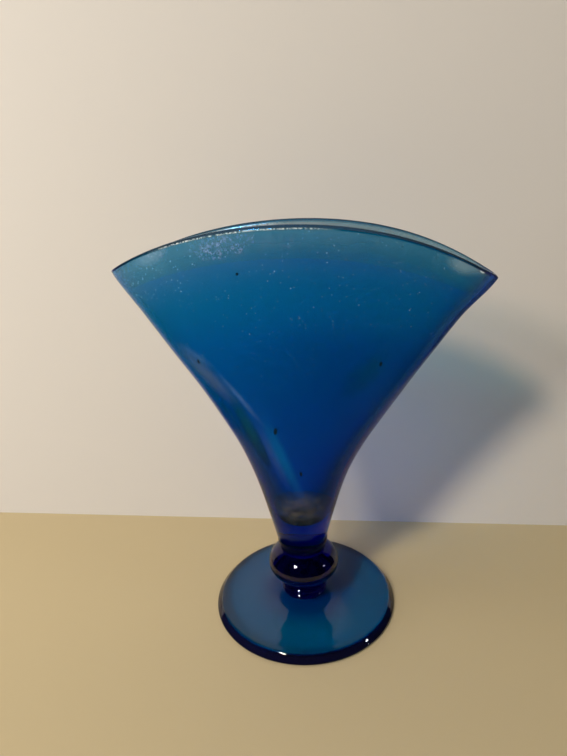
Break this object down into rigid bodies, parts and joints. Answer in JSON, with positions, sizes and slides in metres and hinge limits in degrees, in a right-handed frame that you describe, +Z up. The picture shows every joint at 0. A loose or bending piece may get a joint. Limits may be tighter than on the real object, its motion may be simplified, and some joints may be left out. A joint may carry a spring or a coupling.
{
  "type": "fan vase",
  "caption": "Fan-shaped blown-glass vase: a flattened, flaring bowl with an arched slot mouth on a collared ball stem and a flat disc foot.",
  "frame": {"origin": "centre of the foot's underside, on the plane that the vase stands on", "axes": "+Z up through the stem, +X along the fan's width, +Y through the fan's thickness"},
  "size_m": [0.1867, 0.1032, 0.215],
  "materials": {
    "foot_glass": "clear blue glass, fire-polished",
    "stem_glass": "deep cobalt glass, solid, fire-polished",
    "bowl_glass": "blue glass with a thin satin iridescent surface"
  },
  "bodies": {
    "root": {"foot": "foot_glass", "lower_collar": "stem_glass", "knop": "stem_glass", "upper_collar": "stem_glass", "bowl": "bowl_glass"}
  },
  "joints": []
}
